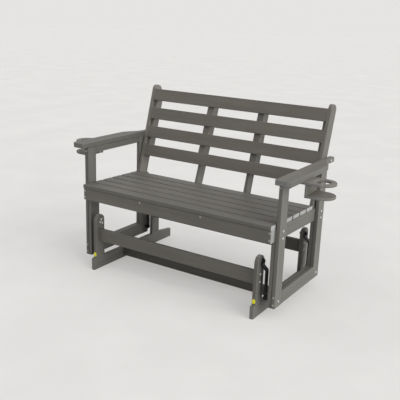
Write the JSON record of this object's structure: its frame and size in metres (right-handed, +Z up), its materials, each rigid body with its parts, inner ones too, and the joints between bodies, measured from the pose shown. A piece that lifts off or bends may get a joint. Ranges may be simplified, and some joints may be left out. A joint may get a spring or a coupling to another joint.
{
  "type": "glider bench",
  "caption": "Slatted plastic-board glider bench on four steel hangers over a floor frame, with flat arms and a cup ring and shelf outside each arm.",
  "frame": {"origin": "middle of the bench's outline on the floor", "axes": "+Z up, the bench faces -Y, +X to the right of someone who looks at its front"},
  "size_m": [1.506, 0.702, 0.9335],
  "materials": {
    "board": "brushed dark grey plastic lumber",
    "black_steel": "satin black coating",
    "bolt_steel": "black, with worn edges",
    "screw_steel": "plain stainless",
    "yellow_plastic": "moulded"
  },
  "bodies": {
    "base": {"foot_left": "board", "foot_right": "board", "upright_front_left": "board", "upright_front_right": "board", "upright_rear_left": "board", "upright_rear_right": "board", "stretcher_front": "board", "stretcher_rear": "board", "stretcher_centre": "board", "upper_pivot_bolts": "bolt_steel", "base_screws": "screw_steel", "upright_plugs": "yellow_plastic"},
    "hanger_front_left": {"hanger_front_left": "black_steel"},
    "hanger_front_right": {"hanger_front_right": "black_steel"},
    "hanger_rear_left": {"hanger_rear_left": "black_steel"},
    "hanger_rear_right": {"hanger_rear_right": "black_steel"},
    "bench": {"leg_front_left_outer": "board", "leg_front_left_inner": "board", "leg_front_right_outer": "board", "leg_front_right_inner": "board", "leg_rear_left_outer": "board", "leg_rear_left_inner": "board", "leg_rear_right_outer": "board", "leg_rear_right_inner": "board", "bottom_rail_left": "board", "bottom_rail_right": "board", "arm_rail_left": "board", "arm_rail_right": "board", "side_rail_left": "board", "side_rail_right": "board", "seat_joist_left": "board", "seat_joist_right": "board", "arm_left": "board", "arm_right": "board", "cup_ring_left": "board", "cup_ring_right": "board", "cup_shelf_left": "board", "cup_shelf_right": "board", "cup_plate_left": "board", "cup_plate_right": "board", "seat_apron": "board", "back_foot_rail": "board", "seat_slat_1": "board", "seat_slat_2": "board", "seat_slat_3": "board", "seat_slat_4": "board", "seat_slat_5": "board", "seat_slat_6": "board", "back_slat_1": "board", "back_slat_2": "board", "back_slat_3": "board", "back_slat_4": "board", "back_stile_left_outer": "board", "back_stile_left_inner": "board", "back_stile_left_middle": "board", "back_stile_right_outer": "board", "back_stile_right_inner": "board", "back_stile_right_middle": "board", "bench_screws": "screw_steel", "lower_pivot_bolts": "bolt_steel"}
  },
  "joints": [
    {"name": "glide", "type": "hinge", "parent": "base", "child": "hanger_front_right", "pos_m": [0.496, -0.292, 0.2725], "axis": [1, 0, 0], "range_deg": [-20, 20]},
    {"name": "bench_pivot", "type": "hinge", "parent": "hanger_front_right", "child": "bench", "pos_m": [0.5175, -0.292, 0.096], "axis": [1, 0, 0], "range_deg": [-20, 20]},
    {"name": "hanger_front_left_pivot", "type": "hinge", "parent": "base", "child": "hanger_front_left", "pos_m": [-0.496, -0.292, 0.2725], "axis": [1, 0, 0], "range_deg": [-20, 20]},
    {"name": "hanger_rear_left_pivot", "type": "hinge", "parent": "base", "child": "hanger_rear_left", "pos_m": [-0.496, 0.18, 0.2725], "axis": [1, 0, 0], "range_deg": [-20, 20]},
    {"name": "hanger_rear_right_pivot", "type": "hinge", "parent": "base", "child": "hanger_rear_right", "pos_m": [0.496, 0.18, 0.2725], "axis": [1, 0, 0], "range_deg": [-20, 20]}
  ],
  "couplings": [
    {"joint": "bench_pivot", "follows": "glide", "ratio": -1},
    {"joint": "hanger_front_left_pivot", "follows": "glide", "ratio": 1},
    {"joint": "hanger_rear_left_pivot", "follows": "glide", "ratio": 1},
    {"joint": "hanger_rear_right_pivot", "follows": "glide", "ratio": 1}
  ]
}
